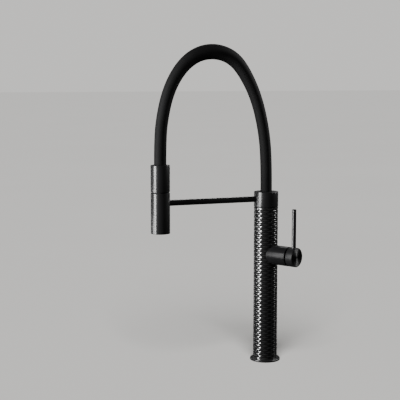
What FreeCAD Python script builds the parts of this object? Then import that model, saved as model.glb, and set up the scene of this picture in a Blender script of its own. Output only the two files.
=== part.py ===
import FreeCAD, Part
import math
import os
import re

import Sketcher

# Pull-down kitchen faucet, in millimetres. +Z is up, the origin lies on the column's
# axis in the plane of the worktop, and the spout arm points along -X. The mixer's
# handle comes out of the column on its own axis, handle_angle from +X.

SIZES = {
    # deck fixing
    "worktop": 30, "ring_radius": 26, "ring_height": 3.2, "ring_edge": 1.2,
    "gasket_inner": 18.5, "gasket_outer": 23.5, "gasket_height": 1.5,
    "shank_radius": 16, "shank_bore": 14, "shank_length": 60, "flange_top": 13,
    "washer_radius": 24.5, "washer_height": 3, "plate_height": 2,
    "nut_height": 9, "nut_corner": 24.2,
    # column
    "column_radius": 20.75, "column_top": 266.3, "core_radius": 19, "core_bore": 17,
    "fit": 0.05, "edge": 0.5,
    # water pipes
    "pipe_radius": 5, "pipe_bore": 3.6, "pipe_shift": -2, "pipe_side": 7,
    "port_radius": 4.5, "port_depth": 12, "port_wall": 6.5, "port_base": -44,
    "socket_depth": 8,
    # valve and handle, along the handle's own axis
    "handle_height": 185.7, "handle_angle": -60, "handle_radius": 16.5,
    "stub_reach": 49, "stub_bore": 13, "block_half": 22, "pocket_floor": 4,
    "duct_radius": 2.5, "duct_drop": -4, "duct_rise": 7,
    "disc_radius": 11, "slider_radius": 8.8, "pivot_reach": 25, "pin_radius": 1.5,
    "ball_reach": 18, "ball_radius": 2.2, "stem_radius": 3,
    "knob_gap": 2.6, "knob_length": 13, "knob_recess": 2, "knob_rim": 2.5,
    "lever_radius": 3.65, "lever_base": 6, "lever_top": 267,
    # swivel
    "swivel_gap": 1.5, "collar_height": 25.4, "spindle_radius": 12.45,
    "spindle_top": 286.2, "housing_radius": 18, "clip_height": 284,
    # arm and spray head
    "arm_radius": 5, "arm_height": 281, "spigot_radius": 2.5, "spout_reach": 190.3,
    "head_radius": 16, "head_wall": 2.3, "head_base": 231, "head_split": 298,
    "split_gap": 2.2, "head_top": 344, "dock_clearance": 0.3, "magnet_radius": 3.6,
    "neck_radius": 8,
    "aerator_radius": 11.4, "jet_radius": 0.9, "jet_pitch": 3,
    # hose
    "hose_radius": 9.8, "hose_widening": 0.4, "hose_swell": 2.8, "hose_start": 289.7,
    "hose_bore": 7.3,
    "spring_radius": 7, "spring_bore": 6, "tube_radius": 5.7, "tube_bore": 3.6,
}

# The hose's route in the X-Z plane, as the corners that its arcs round off.
ROUTE = [
    (0, 343), (-5, 398), (-20, 456), (-45, 502), (-67, 522.5), (-97, 530.5),
    (-128, 524), (-155, 502), (-176.5, 464), (-188, 414),
]

HOSE_CIRCLES = 65
CROWN_SHARE = 0.54
SWELL_SPREAD = 0.14

HANDLE = (
    "create(<<placement>>; create(<<vector>>; 0; 0; Sizes.handle_height);"
    " create(<<rotation>>; create(<<vector>>; 0; 0; 1); Sizes.handle_angle))"
)
HEAD = (
    "create(<<placement>>; create(<<vector>>; -Sizes.spout_reach; 0; 0);"
    " create(<<rotation>>; create(<<vector>>; 0; 0; 1); 0))"
)
PIPE = (
    "create(<<placement>>; create(<<rotation>>; create(<<vector>>; 0; 0; 1);"
    " Sizes.handle_angle) * create(<<vector>>; Sizes.pipe_shift; {}Sizes.pipe_side; 0);"
    " create(<<rotation>>; create(<<vector>>; 0; 0; 1); Sizes.handle_angle))"
)
ALONG = {
    "X": FreeCAD.Rotation(FreeCAD.Vector(0, 1, 0), 90),
    "Y": FreeCAD.Rotation(FreeCAD.Vector(1, 0, 0), -90),
    "Z": FreeCAD.Rotation(),
}

doc = FreeCAD.newDocument("faucet")
sheet = doc.addObject("Spreadsheet::Sheet", "Sizes")
nodes = {}


def fill_sheet():
    """Write every driving dimension into the sheet, one aliased row each."""
    for row, (name, value) in enumerate(SIZES.items(), 1):
        sheet.set(f"A{row}", name)
        sheet.set(f"B{row}", str(value))
        sheet.setAlias(f"B{row}", name)
    doc.recompute()


def sized(text):
    """Turn plain size names into references to the sheet."""
    return re.sub(r"[a-z][a-z_]+", r"Sizes.\g<0>", str(text))


def size(text):
    """The number that an expression of size names has now."""
    return float(sheet.evalExpression(sized(text)))


def bind(item, **sizes):
    """Bind an object's properties to expressions of size names."""
    for name, text in sizes.items():
        item.setExpression(name, sized(text))
    return item


def node(name, item, frame=None):
    """Name a finished sub-part, seat it in its frame and keep it for writing."""
    item.Label = name
    if frame:
        item.setExpression("Placement", frame)
    nodes[name] = item
    return item


def origin_plane(body, role):
    """One of a body's own origin planes."""
    return next(part for part in body.Origin.OriginFeatures if part.Role == role)


def sketch_on(body, role, name):
    """An empty sketch attached to one of the body's origin planes."""
    sketch = body.newObject("Sketcher::SketchObject", name)
    sketch.AttachmentSupport = [(origin_plane(body, role), "")]
    sketch.MapMode = "FlatFace"
    return sketch


def outline(sketch, corners):
    """Draw a closed polygon whose corners are held by the sheet's sizes."""
    points = [FreeCAD.Vector(size(x), size(y), 0) for x, y in corners]
    count = len(points)
    for i in range(count):
        sketch.addGeometry(Part.LineSegment(points[i], points[(i + 1) % count]), False)
    for i in range(count):
        sketch.addConstraint(Sketcher.Constraint("Coincident", i, 2, (i + 1) % count, 1))
    for i, corner in enumerate(corners):
        for kind, axis, text in (("DistanceX", -2, corner[0]), ("DistanceY", -1, corner[1])):
            value = size(text)
            if value == 0:
                sketch.addConstraint(Sketcher.Constraint("PointOnObject", i, 1, axis))
                continue
            rule = sketch.addConstraint(Sketcher.Constraint(kind, -1, 1, i, 1, value))
            sketch.setExpression(f"Constraints[{rule}]", sized(text))


def turned(name, corners, axis="V_Axis"):
    """A body turned from one outline: (radius, height), or (length, radius) on H_Axis."""
    body = doc.addObject("PartDesign::Body", name)
    sketch = sketch_on(body, "XZ_Plane", name + "_outline")
    outline(sketch, corners)
    turn = body.newObject("PartDesign::Revolution", name + "_turn")
    turn.Profile = sketch
    turn.ReferenceAxis = (sketch, [axis])
    turn.Angle = 360
    sketch.Visibility = False
    return body


def tube(name, inner, outer, low, high, axis="V_Axis"):
    """A plain round tube or washer, as a turned body."""
    ends = [(inner, low), (outer, low), (outer, high), (inner, high)]
    if axis == "H_Axis":
        ends = [(height, radius) for radius, height in ends]
    return turned(name, ends, axis)


def cylinder(name, radius, length, at=(0, 0, 0), along="Z"):
    """A round bar, or the tool for a round hole, starting at a point."""
    item = doc.addObject("Part::Cylinder", name)
    bind(item, Radius=radius, Height=length)
    return stand(item, at, along)


def box(name, sides, at):
    """A block with its low corner at a point."""
    item = doc.addObject("Part::Box", name)
    bind(item, Length=sides[0], Width=sides[1], Height=sides[2])
    return stand(item, at, "Z")


def stand(item, at, along):
    """Turn a primitive along an axis and hold its start by the sheet's sizes."""
    item.Placement = FreeCAD.Placement(FreeCAD.Vector(0, 0, 0), ALONG[along])
    for letter, text in zip("xyz", at):
        item.setExpression(f"Placement.Base.{letter}", sized(text))
    return item


def cut(name, solid, *tools):
    """Take one or more tools out of a solid."""
    tool = tools[0]
    if len(tools) > 1:
        tool = doc.addObject("Part::MultiFuse", name + "_tools")
        tool.Shapes = list(tools)
    result = doc.addObject("Part::Cut", name + "_cut")
    result.Base = solid
    result.Tool = tool
    return result


def group(name, items):
    """Identical separate solids that share one node."""
    result = doc.addObject("Part::Compound", name + "_group")
    result.Links = items
    return result


def deck_fixing():
    """Everything that clamps the faucet to the worktop."""
    node("base_ring", turned("base_ring", [
        ("shank_radius + 0.1", 0), ("gasket_inner", 0), ("gasket_inner", "gasket_height"),
        ("gasket_outer", "gasket_height"), ("gasket_outer", 0),
        ("ring_radius - 0.3", 0), ("ring_radius", 0.3),
        ("ring_radius", "ring_height - ring_edge"),
        ("ring_radius - 0.35 * ring_edge", "ring_height - 0.35 * ring_edge"),
        ("ring_radius - ring_edge", "ring_height"), ("shank_radius + 0.1", "ring_height"),
    ]))
    node("base_gasket", tube(
        "base_gasket", "gasket_inner", "gasket_outer", 0, "gasket_height"))
    node("threaded_shank", turned("threaded_shank", [
        ("shank_bore", "-shank_length"), ("shank_radius - 0.8", "-shank_length"),
        ("shank_radius", "-shank_length + 0.8"), ("shank_radius", "ring_height"),
        ("core_bore - fit", "ring_height"), ("core_bore - fit", "flange_top"),
        ("shank_bore", "flange_top"),
    ]))
    washer_base = "-worktop - washer_height"
    plate_base = washer_base + " - plate_height"
    node("rubber_washer", tube(
        "rubber_washer", "shank_radius + 0.1", "washer_radius", washer_base, "-worktop"))
    node("steel_washer", tube(
        "steel_washer", "shank_radius + 0.1", "washer_radius", plate_base, washer_base))
    nut = doc.addObject("Part::Prism", "clamp_nut_blank")
    nut.Polygon = 6
    bind(nut, Circumradius="nut_corner", Height="nut_height")
    stand(nut, (0, 0, plate_base + " - nut_height"), "Z")
    bore = cylinder(
        "clamp_nut_bore", "shank_radius + 0.02", "nut_height + 2",
        (0, 0, plate_base + " - nut_height - 1"))
    node("clamp_nut", cut("clamp_nut", nut, bore))


def side_hole(name):
    """The hole in the column's wall that the handle's stub comes out of."""
    hole = cylinder(name, "handle_radius + 0.1", 40, along="X")
    hole.setExpression(
        "Placement", HANDLE + " * create(<<placement>>; create(<<vector>>; 0; 0; 0);"
        " create(<<rotation>>; create(<<vector>>; 0; 1; 0); 90))")
    return hole


def column():
    """The column's core tube and the woven-relief sleeve around it."""
    core = tube("core_blank", "core_bore", "core_radius", "ring_height", "column_top")
    node("column_tube", cut("column_tube", core, side_hole("core_side_hole")))
    skin = tube(
        "sleeve_blank", "core_radius + fit", "column_radius", "ring_height", "column_top")
    node("woven_sleeve", cut("woven_sleeve", skin, side_hole("sleeve_side_hole")))


def water_pipes():
    """Two inlet pipes with threaded ports, and the pipe up to the swivel."""
    top = "handle_height - block_half + socket_depth"
    for name, sign in (("cold_inlet_pipe", ""), ("hot_inlet_pipe", "-")):
        node(name, turned(name, [
            ("port_radius", "port_base"), ("port_wall", "port_base"),
            ("port_wall", "port_base + port_depth + 2"),
            ("pipe_radius", "port_base + port_depth + 2"), ("pipe_radius", top),
            ("pipe_bore", top), ("pipe_bore", "port_base + port_depth"),
            ("port_radius", "port_base + port_depth"),
        ]), PIPE.format(sign))
    node("mixed_water_pipe", tube(
        "mixed_water_pipe", "pipe_bore", "pipe_radius",
        "handle_height + block_half - socket_depth", "column_top - 4.3"))


def valve_block():
    """The brass block that the pipes and the cartridge plug into."""
    blank = cylinder(
        "block_blank", "core_bore - 0.1", "2 * block_half", (0, 0, "-block_half"))
    tools = [
        cylinder("block_pocket", "stub_bore", 30, ("pocket_floor", 0, 0), "X"),
        cylinder("mixed_socket", "pipe_radius + fit", "socket_depth + 1",
                 (0, 0, "block_half - socket_depth")),
        cylinder("mixed_duct", "duct_radius", "block_half", (0, 0, "duct_rise")),
        cylinder("mixed_cross_duct", "duct_radius", "pocket_floor + 1",
                 (0, 0, "duct_rise"), "X"),
    ]
    for side in ("", "-"):
        spot = side + "pipe_side"
        label = "cold" if side == "" else "hot"
        tools += [
            cylinder(label + "_socket", "pipe_radius + fit", "socket_depth + 1",
                     ("pipe_shift", spot, "-block_half - 1")),
            cylinder(label + "_duct", "duct_radius", "block_half + duct_drop",
                     ("pipe_shift", spot, "-block_half")),
            cylinder(label + "_cross_duct", "duct_radius", "pocket_floor - pipe_shift + 1",
                     ("pipe_shift", spot, "duct_drop"), "X"),
        ]
    node("valve_block", cut("valve_block", blank, *tools), HANDLE)


def ports(name, radius, start, length):
    """Tools or rings at the cartridge's two inlets and its outlet."""
    spots = [("pipe_side", "duct_drop"), ("-pipe_side", "duct_drop"), (0, "duct_rise")]
    return [
        cylinder(f"{name}_{i}", radius, length, (start, y, z), "X")
        for i, (y, z) in enumerate(spots)
    ]


def handle_stub():
    """The round housing that carries the cartridge out of the column's side."""
    blank = turned("stub_blank", [
        (0, "stub_bore"), (0, "handle_radius"), ("stub_reach - edge", "handle_radius"),
        ("stub_reach", "handle_radius - edge"), ("stub_reach", "stub_bore"),
    ], "H_Axis")
    saddle = cylinder("stub_saddle", "core_bore - fit", 60, (0, 0, -30))
    node("handle_stub", cut("handle_stub", blank, saddle), HANDLE)


def cartridge():
    """The ceramic-disc cartridge's fixed pieces."""
    seal_depth = 1.2
    plate = turned("base_plate_blank", [
        ("pocket_floor", 0), ("pocket_floor", "stub_bore - 0.1"),
        ("pocket_floor + 3", "stub_bore - 0.1"), ("pocket_floor + 3", "disc_radius + 0.1"),
        ("pocket_floor + 5.5", "disc_radius + 0.1"), ("pocket_floor + 5.5", 0),
    ], "H_Axis")
    tools = ports("base_port", "duct_radius", "pocket_floor - 1", 9)
    tools += ports("seal_seat", "duct_radius + 1.7", "pocket_floor - 1", 1 + seal_depth)
    node("cartridge_base", cut("cartridge_base", plate, *tools), HANDLE)

    rings = []
    outer = ports("seal_outer", "duct_radius + 1.7", "pocket_floor", seal_depth)
    inner = ports("seal_inner", "duct_radius + 0.4", "pocket_floor - 1", 4)
    for i in range(3):
        rings.append(cut(f"port_seal_{i}", outer[i], inner[i]))
    node("port_seals", group("port_seals", rings), HANDLE)

    disc = cylinder("fixed_disc_blank", "disc_radius", 3.5, ("pocket_floor + 5.5", 0, 0), "X")
    tools = ports("disc_port", "duct_radius - 0.1", "pocket_floor + 5", 6)
    node("fixed_disc", cut("fixed_disc", disc, *tools), HANDLE)

    shell_end = "pocket_floor + 29"
    node("cartridge_shell", turned("cartridge_shell", [
        ("pocket_floor + 3", "disc_radius + 0.2"), ("pocket_floor + 3", "stub_bore - 0.1"),
        (shell_end, "stub_bore - 0.1"), (shell_end, 7.5), (shell_end + " - 2", 7.5),
        (shell_end + " - 2", "disc_radius + 0.2"),
    ], "H_Axis"), HANDLE)

    ring = tube("nut_blank", 8.5, "stub_bore - 0.02", shell_end, shell_end + " + 5", "H_Axis")
    slots = [
        box("nut_slot_a", (3, 40, 3), (shell_end + " + 3", -20, -1.5)),
        box("nut_slot_b", (3, 3, 40), (shell_end + " + 3", -1.5, -20)),
    ]
    node("cartridge_nut", cut("cartridge_nut", ring, *slots), HANDLE)


def valve_rotor():
    """The rotor that turns with the handle, and the pin that the stem tilts on."""
    blank = cylinder("rotor_blank", "disc_radius + 0.1", 10.8, ("pocket_floor + 15.8", 0, 0), "X")
    slot = box("rotor_slot", (20, 6.6, 16), ("pocket_floor + 12", -3.3, -8))
    hole = cylinder("rotor_pin_hole", "pin_radius", 30, ("pivot_reach", -15, 0), "Y")
    node("valve_rotor", cut("valve_rotor", blank, slot, hole), HANDLE)
    node("stem_pin", cylinder("stem_pin", "pin_radius", 20, ("pivot_reach", -10, 0), "Y"))
    nodes["stem_pin"].setExpression(
        "Placement", HANDLE + " * create(<<placement>>; create(<<vector>>;"
        " Sizes.pivot_reach; -10; 0); create(<<rotation>>; create(<<vector>>; 1; 0; 0); -90))")


def sliding_disc():
    """The ceramic disc that meters the water, and its carrier."""
    face = "pocket_floor + 9 + fit"
    back = "pocket_floor + 11.2"
    node("moving_disc", turned("moving_disc", [
        (face, 5), (face, "slider_radius"), (back, "slider_radius"), (back, 0),
        (face + " + 1", 0), (face + " + 1", 5),
    ], "H_Axis"), HANDLE)
    node("disc_carrier", turned("disc_carrier", [
        (back, 0), (back, "slider_radius"), (back + " + 4.2", "slider_radius"),
        (back + " + 4.2", "ball_radius + 0.2"), (back + " + 0.4", "ball_radius + 0.2"),
        (back + " + 0.4", 0),
    ], "H_Axis"), HANDLE)


def handle():
    """The stem, the knob on it and the lever that stands up from the knob."""
    face = "stub_reach + knob_gap"
    middle = face + " + 0.5 * knob_length"
    foot = "ball_reach"
    neck = "ball_radius - 0.6"
    stem = turned("stem_blank", [
        (foot + " - 1.6", 0), (foot + " - 1.6", "ball_radius - 1"),
        (foot + " - 0.6", "ball_radius"), (foot + " + 0.6", "ball_radius"),
        (foot + " + 1.2", neck), (foot + " + 4", neck), (foot + " + 4", "stem_radius"),
        (face + " + 8.4", "stem_radius"), (face + " + 8.4", 0),
    ], "H_Axis")
    eye = cylinder("stem_eye", "pin_radius + fit", 20, ("pivot_reach", -10, 0), "Y")
    node("valve_stem", cut("valve_stem", stem, eye), HANDLE)

    rim = "handle_radius - knob_rim"
    knob = turned("knob_blank", [
        (face, rim), (face, "handle_radius - edge"), (face + " + edge", "handle_radius"),
        (face + " + knob_length - edge", "handle_radius"),
        (face + " + knob_length", "handle_radius - edge"), (face + " + knob_length", 0),
        (face + " + 8.6", 0), (face + " + 8.6", "stem_radius"),
        (face + " + knob_recess", "stem_radius"), (face + " + knob_recess", rim),
    ], "H_Axis")
    lever_hole = cylinder("lever_hole", "lever_radius", 20, (middle, 0, "lever_base"))
    screw_hole = cylinder("screw_hole", 2, 20, (middle, 0, -22))
    node("handle_knob", cut("handle_knob", knob, lever_hole, screw_hole), HANDLE)

    blank = cylinder("screw_blank", 2, 6, (middle, 0, "-stem_radius - 6.1"))
    key = doc.addObject("Part::Prism", "screw_key")
    key.Polygon = 6
    bind(key, Circumradius=1.15, Height=4)
    stand(key, (middle, 0, "-stem_radius - 7"), "Z")
    node("knob_screw", cut("knob_screw", blank, key), HANDLE)

    top = "lever_top - handle_height"
    lever = turned("lever_blank", [
        (0, "lever_base"), ("lever_radius", "lever_base"),
        ("lever_radius", top + " - 0.6"), ("lever_radius - 0.6", top), (0, top),
    ])
    node("lever_rod", lever, HANDLE + " * create(<<placement>>; create(<<vector>>;"
         " Sizes.stub_reach + Sizes.knob_gap + 0.5 * Sizes.knob_length; 0; 0);"
         " create(<<rotation>>; create(<<vector>>; 0; 0; 1); 0))")


def split_ring(name, inner, outer, low, high, gap):
    """A spring clip: a flat ring with a gap in it."""
    ring = tube(name + "_ring", inner, outer, low, high)
    return cut(name, ring, box(name + "_gap", (outer, gap, 4), (0, f"-0.5 * {gap}", low + " - 1")))


def swivel_base():
    """The spindle on top of the column, with its seals, clip and slip ring."""
    foot = "column_top - 12.3"
    groove = "spindle_radius - 2"
    seals = ["column_top + 5.7", "column_top + 11.7"]
    corners = [
        ("pipe_radius + fit", foot), ("core_bore - fit", foot),
        ("core_bore - fit", "column_top"), ("spindle_radius", "column_top"),
    ]
    for height in seals:
        corners += [
            ("spindle_radius", height + " - 1.1"), (groove, height + " - 1.1"),
            (groove, height + " + 1.1"), ("spindle_radius", height + " + 1.1"),
        ]
    corners += [
        ("spindle_radius", "clip_height + 0.3"), ("spindle_radius - 1.25", "clip_height + 0.3"),
        ("spindle_radius - 1.25", "clip_height + 1.5"), ("spindle_radius", "clip_height + 1.5"),
        ("spindle_radius", "spindle_top"), ("pipe_bore", "spindle_top"),
        ("pipe_bore", "column_top - 4.3"), ("pipe_radius + fit", "column_top - 4.3"),
    ]
    node("swivel_spindle", turned("swivel_spindle", corners))
    rings = []
    for i, height in enumerate(seals):
        ring = doc.addObject("Part::Torus", f"spindle_seal_{i}")
        bind(ring, Radius1=groove + " + 1", Radius2=0.98)
        rings.append(stand(ring, (0, 0, height), "Z"))
    node("spindle_o_rings", group("spindle_o_rings", rings))
    node("spindle_clip", split_ring(
        "spindle_clip", "spindle_radius - 1.2", "spindle_radius + 2.1",
        "clip_height + 0.35", "clip_height + 1.45", 5))
    node("slip_ring", tube(
        "slip_ring", "spindle_radius + 0.15", "column_radius - 2.25",
        "column_top", "column_top + swivel_gap - 0.1"))


def swivel_top():
    """The turning housing, the collar over it and the seat that the hose rises from."""
    base = "column_top + swivel_gap"
    top = base + " + collar_height"
    chamber = "spindle_radius + 3.05"
    housing = turned("housing_blank", [
        ("spindle_radius + fit", base), ("housing_radius", base),
        ("housing_radius", "hose_start"), (chamber, "hose_start"),
        (chamber, "clip_height"), ("spindle_radius + fit", "clip_height"),
    ])
    spigot = cylinder("spigot_hole", "spigot_radius", 10, (-23.3, 0, "arm_height"), "X")
    node("swivel_housing", cut("swivel_housing", housing, spigot))

    node("hose_seat", turned("hose_seat", [
        (2.4, "spindle_top + 0.4"), (chamber + " - fit", "spindle_top + 0.4"),
        (chamber + " - fit", "hose_start"), ("tube_bore - 0.1", "hose_start"),
        ("tube_bore - 0.1", "hose_start + 15"), (2.4, "hose_start + 15"),
    ]))

    mouth = "hose_radius + 0.4"
    collar = turned("collar_blank", [
        ("housing_radius + fit", base), ("column_radius - edge", base),
        ("column_radius", base + " + edge"), ("column_radius", top + " - edge"),
        ("column_radius - edge", top), (mouth, top), (mouth, "hose_start + 0.3"),
        ("housing_radius + fit", "hose_start + 0.3"),
    ])
    hole = cylinder("arm_hole", "arm_radius + fit", 30, (-35, 0, "arm_height"), "X")
    node("swivel_collar", cut("swivel_collar", collar, hole))


def spout_arm():
    """The round arm with a hollowed end and the magnet that holds the spray head."""
    root = "housing_radius + 0.3"
    blank = doc.addObject("Part::MultiFuse", "arm_blank")
    blank.Shapes = [
        cylinder("arm_bar", "arm_radius", "spout_reach - head_radius + 2 - housing_radius - 0.3",
                 ("head_radius - 2 - spout_reach", 0, "arm_height"), "X"),
        cylinder("arm_spigot", "spigot_radius", root + " - 13.4 + 1",
                 ("-housing_radius - 1.3", 0, "arm_height"), "X"),
    ]
    saddle = cylinder(
        "arm_saddle", "head_radius + dock_clearance", 40, ("-spout_reach", 0, "arm_height - 20"))
    depth = 3.2
    pocket = cylinder("magnet_pocket", "magnet_radius", 4 + depth,
                      ("head_radius - 4 + dock_clearance - spout_reach", 0, "arm_height"), "X")
    node("spout_arm", cut("spout_arm", blank, saddle, pocket))
    node("dock_magnet", cylinder(
        "dock_magnet", "magnet_radius", depth - 0.2,
        ("head_radius + dock_clearance + 0.2 - spout_reach", 0, "arm_height"), "X"))


def hose_path():
    """The hose's centreline: straight runs joined by tangent arcs."""
    start = FreeCAD.Vector(0, 0, size("hose_start"))
    end = FreeCAD.Vector(-size("spout_reach"), 0, size("head_top - 2.8"))
    last = FreeCAD.Vector(-size("spout_reach"), 0, size("head_top + 28"))
    corners = [start] + [FreeCAD.Vector(x, 0, z) for x, z in ROUTE] + [last, end]
    edges = []
    reached = start
    for before, corner, after in zip(corners, corners[1:], corners[2:]):
        come, go = corner - before, after - corner
        turn = come.getAngle(go)
        back = 0.45 * min(come.Length, go.Length)
        come.normalize()
        go.normalize()
        radius = back / math.tan(turn / 2)
        print(f"hose arc radius {radius:.1f} mm, turn {math.degrees(turn):.1f} degrees")
        inner = (go - come).normalize() * (radius / math.cos(turn / 2) - radius)
        first, second = corner - come * back, corner + go * back
        edges.append(Part.LineSegment(reached, first).toShape())
        edges.append(Part.Arc(first, corner + inner, second).toShape())
        reached = second
    edges.append(Part.LineSegment(reached, end).toShape())
    return Part.Wire(edges)


def swollen_radius(share):
    """The hose's outer radius: it widens a little along its length and swells at the crown."""
    swell = math.exp(-(((share - CROWN_SHARE) / SWELL_SPREAD) ** 2))
    return size("hose_radius") + share * size("hose_widening") + size("hose_swell") * swell


def swept(path, radius):
    """A solid of one radius swept along the path."""
    start = path.OrderedEdges[0]
    spot = start.valueAt(start.FirstParameter)
    circle = Part.Circle(spot, start.tangentAt(start.FirstParameter), radius).toShape()
    return path.makePipeShell([Part.Wire([circle])], True, False)


def swollen(path):
    """The hose's outer form: a loft through circles spaced along the path."""
    spots = path.discretize(Number=HOSE_CIRCLES)
    across = FreeCAD.Vector(0, 1, 0)
    up = FreeCAD.Vector(0, 0, 1)
    rings = []
    for i, spot in enumerate(spots):
        circle = Part.Circle()
        circle.Radius = swollen_radius(i / (HOSE_CIRCLES - 1))
        ring = Part.Wire([circle.toShape()])
        if i == 0:
            along = up
        elif i == HOSE_CIRCLES - 1:
            along = -up
        else:
            along = (spots[i + 1] - spots[i - 1]).normalize()
        turn = FreeCAD.Rotation(across, along.cross(across), along, "ZXY")
        ring.Placement = FreeCAD.Placement(spot, turn)
        rings.append(ring)
    return Part.makeLoft(rings, True, False)


def hose():
    """The rubber hose, the coil that holds its arch and the water tube inside."""
    path = hose_path()
    print(f"hose centreline {path.Length:.1f} mm")
    layers = {
        "hose_sleeve": (swollen(path), "hose_bore"),
        "support_spring": (swept(path, size("spring_radius")), "spring_bore"),
        "water_tube": (swept(path, size("tube_radius")), "tube_bore"),
    }
    for name, (solid, bore) in layers.items():
        item = doc.addObject("Part::Feature", name)
        item.Shape = solid.cut(swept(path, size(bore)))
        print(f"{name} volume {item.Shape.Volume:.0f} mm3")
        node(name, item)


def hose_end():
    """The upper, plain half of the spray head, fixed to the hose's end."""
    low = "head_split + split_gap"
    inner = "head_radius - head_wall - 0.1"
    seat = "head_top - 3"
    mouth = "hose_radius + hose_widening + 0.4"
    node("hose_end_sleeve", turned("hose_end_sleeve", [
        (inner, low), ("head_radius - edge", low), ("head_radius", low + " + edge"),
        ("head_radius", "head_top - edge"), ("head_radius - edge", "head_top"),
        (mouth, "head_top"), (mouth, seat), (inner, seat),
    ]), HEAD)
    neck = "neck_radius"
    foot = "head_split - 15"
    seal = "head_split - 7.9"
    node("hose_end_fitting", turned("hose_end_fitting", [
        (2.4, foot), (neck, foot), (neck, foot + " + 1.5"), (neck + " - 1", foot + " + 1.5"),
        (neck + " - 1", foot + " + 2.7"), (neck, foot + " + 2.7"),
        (neck, seal + " - 1.1"), (neck + " - 1.6", seal + " - 1.1"),
        (neck + " - 1.6", seal + " + 1.1"), (neck, seal + " + 1.1"), (neck, low),
        (inner + " - fit", low), (inner + " - fit", low + " + 5.8"),
        (neck + " - 1", low + " + 5.8"),
        (neck + " - 1", seat + " - 5"), (inner + " - fit", seat + " - 5"),
        (inner + " - fit", seat), ("tube_bore - 0.1", seat), ("tube_bore - 0.1", seat + " + 11"),
        (2.4, seat + " + 11"),
    ]), HEAD)
    node("head_slip_ring", tube(
        "head_slip_ring", neck + " + 0.1", "head_radius - 1.4",
        "head_split + 0.1", low), HEAD)
    ring = doc.addObject("Part::Torus", "head_seal_ring")
    bind(ring, Radius1=neck + " - 0.8", Radius2=0.78)
    stand(ring, ("-spout_reach", 0, seal), "Z")
    node("head_o_ring", ring)
    node("head_clip", split_ring(
        "head_clip", neck + " - 0.95", neck + " + 2.3", foot + " + 1.55",
        foot + " + 2.65", 4), HEAD)


def spray_head():
    """The lower half of the head, which turns and carries the outlet."""
    bore = "head_radius - head_wall"
    node("spray_shell", turned("spray_shell", [
        (bore, "head_base"), ("head_radius - 0.6", "head_base"),
        ("head_radius", "head_base + 0.6"), ("head_radius", "head_split - edge"),
        ("head_radius - edge", "head_split"), (bore, "head_split"),
    ]), HEAD)
    inside = bore + " - fit"
    node("spray_bush", tube(
        "spray_bush", "neck_radius + fit", inside, "head_split - 12", "head_split"), HEAD)
    node("waterway", turned("waterway", [
        (9, "head_base + 16"), (inside, "head_base + 16"), (inside, "head_base + 31"),
        (12.2, "head_base + 31"), (12.2, "head_base + 53"), (10.6, "head_base + 53"),
        (10.6, "head_base + 39"), (9, "head_base + 39"),
    ]), HEAD)
    node("dock_steel_ring", tube(
        "dock_steel_ring", 12.3, inside, "head_base + 42", "head_base + 54.5"), HEAD)
    node("check_valve", turned("check_valve", [
        (0, "head_base + 23"), (4, "head_base + 23"), (4, "head_base + 21"),
        (8.95, "head_base + 21"), (8.95, "head_base + 35"), (5.5, "head_base + 35"),
        (5.5, "head_base + 28"), (3, "head_base + 31"), (0, "head_base + 31"),
    ]), HEAD)
    node("inlet_filter", tube(
        "inlet_filter", 1, 8.95, "head_base + 35", "head_base + 36.5"), HEAD)
    node("aerator_seal", tube(
        "aerator_seal", 9.5, inside, "head_base + 14", "head_base + 16"), HEAD)
    node("aerator_housing", turned("aerator_housing", [
        ("aerator_radius + fit", "head_base + 1"), (inside, "head_base + 1"),
        (inside, "head_base + 14"), ("aerator_radius - 1.5", "head_base + 14"),
        ("aerator_radius - 1.5", "head_base + 12.5"),
        ("aerator_radius + fit", "head_base + 12.5"),
    ]), HEAD)
    aerator_insert()


def circle_sketch(body, name, radius, distance):
    """A circle on the body's base plane, its centre on the X axis."""
    sketch = sketch_on(body, "XY_Plane", name)
    spot = FreeCAD.Vector(size(distance), 0, 0)
    sketch.addGeometry(Part.Circle(spot, FreeCAD.Vector(0, 0, 1), size(radius)), False)
    rule = sketch.addConstraint(Sketcher.Constraint("Radius", 0, size(radius)))
    sketch.setExpression(f"Constraints[{rule}]", sized(radius))
    sketch.addConstraint(Sketcher.Constraint("PointOnObject", 0, 3, -1))
    if size(distance) == 0:
        sketch.addConstraint(Sketcher.Constraint("PointOnObject", 0, 3, -2))
    else:
        rule = sketch.addConstraint(
            Sketcher.Constraint("DistanceX", -1, 1, 0, 3, size(distance)))
        sketch.setExpression(f"Constraints[{rule}]", sized(distance))
    return sketch


def aerator_insert():
    """The outlet's plug, with rings of small jets patterned around its axis."""
    body = doc.addObject("PartDesign::Body", "aerator_insert")
    disc = body.newObject("PartDesign::Pad", "aerator_disc")
    disc.Profile = circle_sketch(body, "aerator_disc_sketch", "aerator_radius", 0)
    disc.Length = 10
    doc.recompute()
    before = disc.Shape.Volume
    for ring in (1, 2, 3):
        jet = body.newObject("PartDesign::Pocket", f"jet_{ring}")
        jet.Profile = circle_sketch(body, f"jet_{ring}_sketch", "jet_radius", f"{ring} * jet_pitch")
        jet.Type = "ThroughAll"
        jet.Reversed = True
        pattern = body.newObject("PartDesign::PolarPattern", f"jet_{ring}_ring")
        pattern.Originals = [jet]
        axis = next(part for part in body.Origin.OriginFeatures if part.Role == "Z_Axis")
        pattern.Axis = (axis, [""])
        pattern.Angle = 360
        pattern.Occurrences = 6 * ring
        body.Tip = pattern
        doc.recompute()
    if body.Shape.Volume >= before:
        raise RuntimeError("the jets cut nothing")
    node("aerator_insert", body, HEAD.replace("; 0; 0);", "; 0; Sizes.head_base + 2.4);", 1))


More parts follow.
